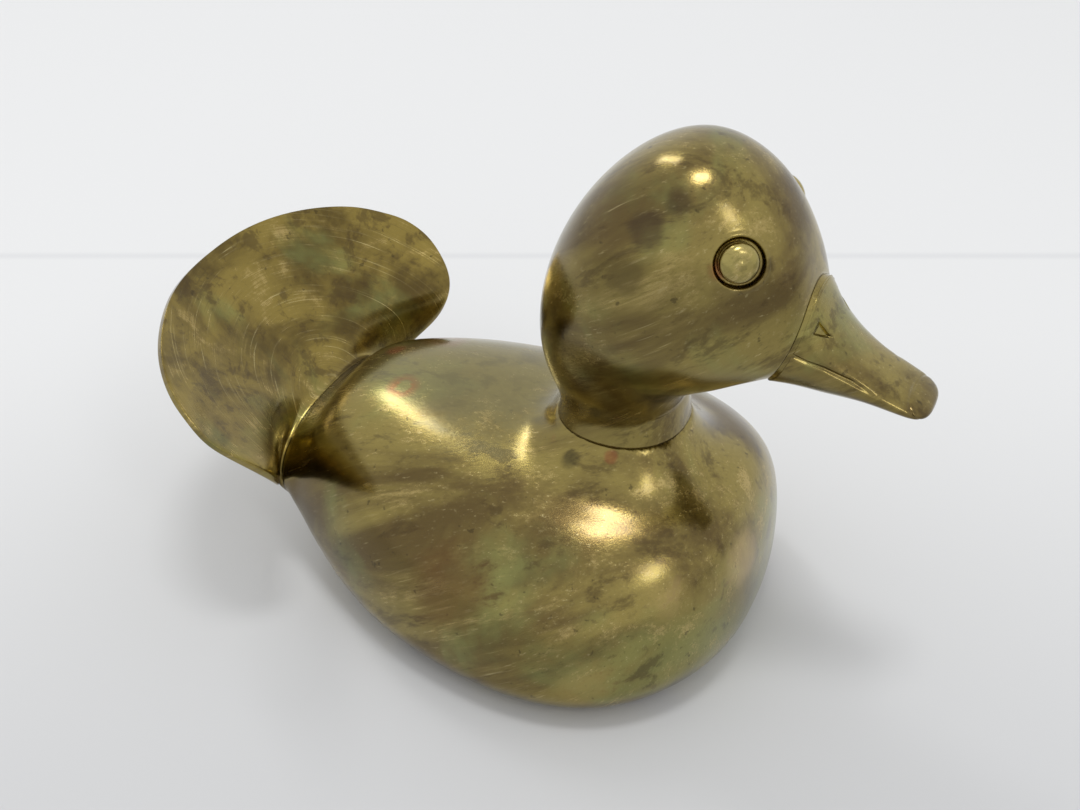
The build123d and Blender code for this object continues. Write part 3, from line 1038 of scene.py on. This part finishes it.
@dataclass
class Bill:
    """Drooping bill with its collar, nostrils, mouth line and nail."""

    head: Head
    fullness: float = 2.2
    length: float = 26.0
    droop: float = 19.8
    groove_width: float = 0.9
    groove_depth: float = 0.42
    root_share: float = 0.98
    rings: int = 250
    turns: int = 340
    mouth: tuple[tuple[float, float], ...] = (
        (45.5, 72.8), (47.5, 71.9), (51.2, 70.4), (54.8, 69.4), (59.3, 67.6), (63.2, 65.7),
    )
    mouth_depth: float = 0.55
    mouth_width: float = 0.38
    mouth_fade: tuple[float, float] = (2.0, 6.0)
    nail_x: tuple[float, float] = (72.3, 68.4)
    nail_depth: float = 0.3
    nail_width: float = 0.3
    nostril_depth: float = 1.1
    nostril_blend: float = 0.45
    nostril_lap: float = 0.3
    nostril_inner: float = 3.5
    collar_back: tuple[float, float] = (2.0, 0.5)
    collar_lap: float = 0.5
    nostril: tuple[tuple[float, float], ...] = ((52.1, 76.8), (51.4, 75.2), (54.8, 73.6))
    # Share of the length, then shares of the root's half width and of its half height above and below the axis
    rows: tuple[tuple[float, float, float, float], ...] = (
        (0.000, 1.000, 1.000, 1.000), (0.150, 0.935, 0.690, 0.830), (0.350, 0.860, 0.375, 0.650),
        (0.600, 0.760, 0.170, 0.400), (0.840, 0.690, 0.130, 0.220), (0.930, 0.600, 0.110, 0.150),
        (0.980, 0.430, 0.070, 0.090), (1.000, 0.0, -0.02, 0.02),
    )

    def root(self) -> tuple[float, float, float, float]:
        """Turn, throat radius, reach and half width of the head where the bill starts."""
        share, *rest = self.head.rows[-1]
        return share * self.head.full_turn, *rest

    def form(self) -> Form:
        """Skin of the bill in front of its groove."""
        turn, inner, outer, half_width = self.root()
        x, z = self.head.section(turn, inner, outer, half_width).centre
        angle, droop = math.radians(turn), math.radians(self.droop)
        x, z = x + self.groove_width * math.sin(angle), z + self.groove_width * math.cos(angle)
        size = self.root_share * (outer - inner) / 2
        cuts = []
        for place, width, above, below in self.rows:
            along = place * self.length
            lean = turn + (90 + self.droop - turn) * min(1, place / self.rows[2][0])
            middle = (x + along * math.cos(droop), z - along * math.sin(droop))
            half = self.root_share * half_width * width
            cuts.append(leaning(*middle, lean, half, above * size, below * size, self.fullness))
        return Form(cuts, rounded_end=True)

    def carved(self, points: np.ndarray) -> np.ndarray:
        """Sink the mouth line, the nostrils and the nail's line into the skin.

        Args:
            points: rings by turns by 3, in drawing millimetres.

        Returns:
            The same array with those places moved in.
        """
        x, y, z = (points[..., k] for k in range(3))
        line = np.array(self.mouth)
        height = np.interp(x, line[:, 0], line[:, 1])
        along = np.clip((line[-1, 0] + self.mouth_fade[0] - x) / self.mouth_fade[1], 0, 1)
        depth = self.mouth_depth * along * np.exp(-(((z - height) / self.mouth_width) ** 2))
        high, low = np.nanmax(z, axis=1, keepdims=True), np.nanmin(z, axis=1, keepdims=True)
        edge = self.nail_x[0] + (self.nail_x[1] - self.nail_x[0]) * (z - low) / np.maximum(high - low, 0.1)
        depth += self.nail_depth * np.exp(-(((x - edge) / self.nail_width) ** 2))
        depth += self.nostril_depth * self._nostril_share(x, z) * np.clip(np.abs(y) - self.nostril_inner, 0, 1)
        away = np.stack([np.zeros_like(x), y, z - (high + low) / 2], -1)
        length = np.sqrt((away**2).sum(-1, keepdims=True))
        return points - away / np.maximum(length, 1.0) * depth[..., None]

    def _nostril_share(self, x: np.ndarray, z: np.ndarray) -> np.ndarray:
        """How far each place is inside a nostril, from 0 to 1.

        Args:
            x: places along the duck in millimetres.
            z: their heights.

        Returns:
            The shares.
        """
        inside = np.full(x.shape, np.inf)
        for (ax, az), (bx, bz) in zip(self.nostril, self.nostril[1:] + self.nostril[:1]):
            run = math.hypot(bx - ax, bz - az)
            inside = np.minimum(inside, ((bx - ax) * (z - az) - (bz - az) * (x - ax)) / run)
        return smooth(inside / self.nostril_blend + self.nostril_lap)

    def build(self, shop: Workshop, material: bpy.types.Material) -> bpy.types.Object:
        """Make the bill and its collar.

        Args:
            shop: puts the piece on the frame.
            material: its finish.

        Returns:
            The finished object.
        """
        form = self.form()
        turn, inner, outer, half_width = self.root()
        places = np.linspace(form.start, form.end, self.rings)
        turns = np.linspace(0, FULL_TURN, self.turns, endpoint=False)
        build = bmesh.new()
        shop.tube(build, self.head.bulged(self.carved(form.points(places, turns))), True, False)
        angle, depth = math.radians(turn), self.groove_depth
        ahead = np.array([math.sin(angle), 0, math.cos(angle)])
        thin = self.head.section(turn, inner + depth, outer - depth, half_width - depth)
        ring = Form([thin, thin], even=True).points(np.array([0.0]), turns)[0]
        places = (*(-d for d in self.collar_back), self.groove_width, self.groove_width + self.collar_lap)
        collar = np.stack([ring + ahead * d for d in places])
        shop.tube(build, self.head.bulged(collar), True, True)
        return shop.piece("bill_casting_skin", build, material, ["bill_casting"])


@dataclass
class EyeStud:
    """Turned stud in an eye seat: a flange, a low dome and a flat with a pip."""

    head: Head
    side: Side
    radius: float = 3.3
    profile: tuple[tuple[float, float], ...] = (
        (0.0, 1.62), (0.35, 1.60), (0.55, 1.48), (0.75, 1.42), (1.1, 1.42), (1.7, 1.50), (2.1, 1.42), (2.5, 1.20),
        (2.85, 0.88), (3.12, 0.50), (3.25, 0.15), (3.3, -0.1), (3.3, -0.6), (1.5, -0.6), (1.5, -2.5), (0.0, -2.5),
    )
    turns: int = 72

    def build(self, shop: Workshop, material: bpy.types.Material) -> bpy.types.Object:
        """Make the stud.

        Args:
            shop: puts the piece on the frame.
            material: its finish.

        Returns:
            The finished object.
        """
        _, _, centre, normal = self.head.eye_frame(self.head.form())
        flip = np.array([1, -self.side.value, 1])
        axis, base = Vector(normal * flip), Vector(centre * flip)
        first = axis.orthogonal().normalized()
        second = axis.cross(first)
        turns = np.linspace(0, FULL_TURN, self.turns, endpoint=False)
        rings = [
            [tuple(base + axis * height + radius * (math.cos(t) * first + math.sin(t) * second)) for t in turns]
            for radius, height in self.profile
        ]
        build = bmesh.new()
        shop.tube(build, np.array(rings), False, False)
        name = f"eye_stud_{self.side.name.lower()}"
        return shop.piece(name + "_turned", build, material, [name])


# ---- set ----


@dataclass(frozen=True)
class Lamp:
    """A soft rectangular lamp: where it hangs, where it points, its size in metres and its power in watts."""

    name: str
    place: tuple[float, float, float]
    aim: tuple[float, float, float]
    size: tuple[float, float]
    power: float

    def hang(self) -> None:
        """Put the lamp in the scene."""
        light = bpy.data.lights.new(self.name, "AREA")
        light.shape, light.energy = "RECTANGLE", self.power
        light.size, light.size_y = self.size
        lamp = bpy.data.objects.new(self.name, light)
        lamp.location = self.place
        lamp.rotation_euler = (Vector(self.aim) - Vector(self.place)).to_track_quat("-Z", "Y").to_euler()
        bpy.context.scene.collection.objects.link(lamp)


@dataclass
class Studio:
    """Pale table and backdrop, soft lamps and the camera at the photograph's angle."""

    azimuth: float = 25.0
    elevation: float = 36.5
    distance: float = 286.0
    target: tuple[float, float, float] = (0.0, 0.0, 36.0)
    slide: tuple[float, float] = (0.72, 2.89)
    lens: float = 50.0
    sensor_width: float = 36.0
    clip: tuple[float, float] = (0.01, 20.0)
    table_half: float = 4.0
    near_shaded_colour: str = "C3C4C6"
    far_lit_colour: str = "DFE0E1"
    fold_shade_colour: str = "B9BBC0"
    # Distance behind the duck, in metres, over which painted light turns the table paler, and of the faint fold in
    # the paper, marked by a line of painted shade
    painted_light_falloff: tuple[float, float] = (-0.13, 0.10)
    fold: float = 0.121
    fold_shade_width: float = 0.0025
    fold_shade_share: float = 0.25
    room_colour: str = "EFEFEF"
    room_strength: float = 0.98
    lamps: tuple[Lamp, ...] = (
        Lamp("window", (-0.55, 0.35, 0.80), (0.0, 0.0, 0.03), (0.12, 0.4), 1.0),
        Lamp("ceiling", (0.05, -0.05, 1.0), (0.0, 0.0, 0.0), (0.22, 0.16), 1.9),
        Lamp("fill", (0.75, -0.5, 0.9), (0.0, 0.0, 0.03), (0.2, 0.4), 1.0),
    )

    def axes(self) -> tuple[Vector, Vector, Vector]:
        """Backward, right and up directions of the camera."""
        az, el = math.radians(self.azimuth), math.radians(self.elevation)
        back = Vector((math.sin(az) * math.cos(el), -math.cos(az) * math.cos(el), math.sin(el)))
        right = Vector((math.cos(az), math.sin(az), 0))
        return back, right, back.cross(right)

    def build(self, shop: Workshop) -> None:
        """Set the camera, the table and the light.

        Args:
            shop: knows the shift between drawing and frame.
        """
        back, right, up = self.axes()
        target = Vector(self.target) + right * self.slide[0] + up * self.slide[1] + Vector((shop.shift, 0, 0))
        camera = bpy.data.objects.new("camera", bpy.data.cameras.new("camera"))
        camera.data.lens, camera.data.sensor_width = self.lens, self.sensor_width
        camera.data.clip_start, camera.data.clip_end = self.clip
        turn = Matrix((right, up, back)).transposed().to_4x4()
        camera.matrix_world = Matrix.Translation((target + back * self.distance) * MM) @ turn
        bpy.context.scene.collection.objects.link(camera)
        bpy.context.scene.camera = camera
        self.table()
        self.room()

    def table(self) -> None:
        """Lay the pale table, with painted light that turns it paler away from the camera up to a faint fold,
        where a line of painted shade runs.
        """
        paint = Painter("table")
        cloud = paint.noise(paint.place(), scale=2.2, detail=3)
        back = self.axes()[0]
        level = (back.x**2 + back.y**2) ** 0.5
        ahead = (-back.x / level, -back.y / level, 0.0)
        away = paint.node("ShaderNodeVectorMath", {"operation": "DOT_PRODUCT"}, {0: paint.place(), 1: ahead}, 1)
        # Painted light: the table is darker near the camera and paler further back.
        colour = paint.blend(away.step(*self.painted_light_falloff), rgb(self.near_shaded_colour), rgb(self.far_lit_colour))
        # Painted shade: a darker line along the fold.
        line = (away - self.fold).size().step(self.fold_shade_width, 0.0) * self.fold_shade_share
        colour = paint.blend(line, colour, rgb(self.fold_shade_colour))
        material = paint.finish(Base_Color=colour, Roughness=0.5 + cloud * 0.1)
        build = bmesh.new()
        bmesh.ops.create_grid(build, x_segments=1, y_segments=1, size=self.table_half)
        mesh = bpy.data.meshes.new("table")
        build.to_mesh(mesh)
        build.free()
        mesh.materials.append(material)
        floor = bpy.data.objects.new("table", mesh)
        bpy.context.scene.collection.objects.link(floor)

    def room(self) -> None:
        """Hang the lamps and set the room's light."""
        for lamp in self.lamps:
            lamp.hang()
        world = bpy.data.worlds.new("room")
        world.use_nodes = True
        background = world.node_tree.nodes["Background"]
        background.inputs["Color"].default_value = rgb(self.room_colour)
        background.inputs["Strength"].default_value = self.room_strength
        bpy.context.scene.world = world
        bpy.context.scene.view_settings.view_transform = "Standard"


@dataclass
class Fasteners:
    """The hidden studs, nut, screw and washers, which keep their own solids."""

    nodes: tuple[str, ...] = ("neck_stud", "neck_washer", "neck_nut", "tail_washer", "tail_screw")

    def dress(self, material: bpy.types.Material, shown: dict[str, bpy.types.Object]) -> None:
        """Give the fasteners their finish.

        Args:
            material: the finish.
            shown: the frame's objects by node name.
        """
        for name in self.nodes:
            shown[name].data.materials.clear()
            shown[name].data.materials.append(material)
            LOG.info("%s dressed", name)


def main() -> None:
    """Build every piece and the set."""
    logging.basicConfig(level=logging.INFO, format="%(message)s")
    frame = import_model()
    body, head = Body(), Head()
    shop = Workshop(body.neck_x)
    Studio().build(shop)
    shift = shop.shift
    brown = AgedBrass("aged_brass_body", shift, stains=BODY_STAINS)
    golden = AgedBrass("aged_brass_tail", shift, base="8F7C3C", dark="5A4A20", scratch_share=0.5, arcs=True)
    smeared = AgedBrass("aged_brass_head", shift, gold_share=0.3, stains=HEAD_STAINS)
    plain = AgedBrass("aged_brass_bill", shift, gold_share=0.25)
    body.build(shop, brown.material())
    Tail().build(shop, golden.material())
    head.build(shop, smeared.material())
    Bill(head).build(shop, plain.material())
    eye = AgedBrass("aged_brass_eye", shift, base="A59858").material()
    for side in Side:
        EyeStud(head, side).build(shop, eye)
    Fasteners().dress(PlatedSteel().material(), frame["nodes"])


if __name__ == "__main__":
    main()
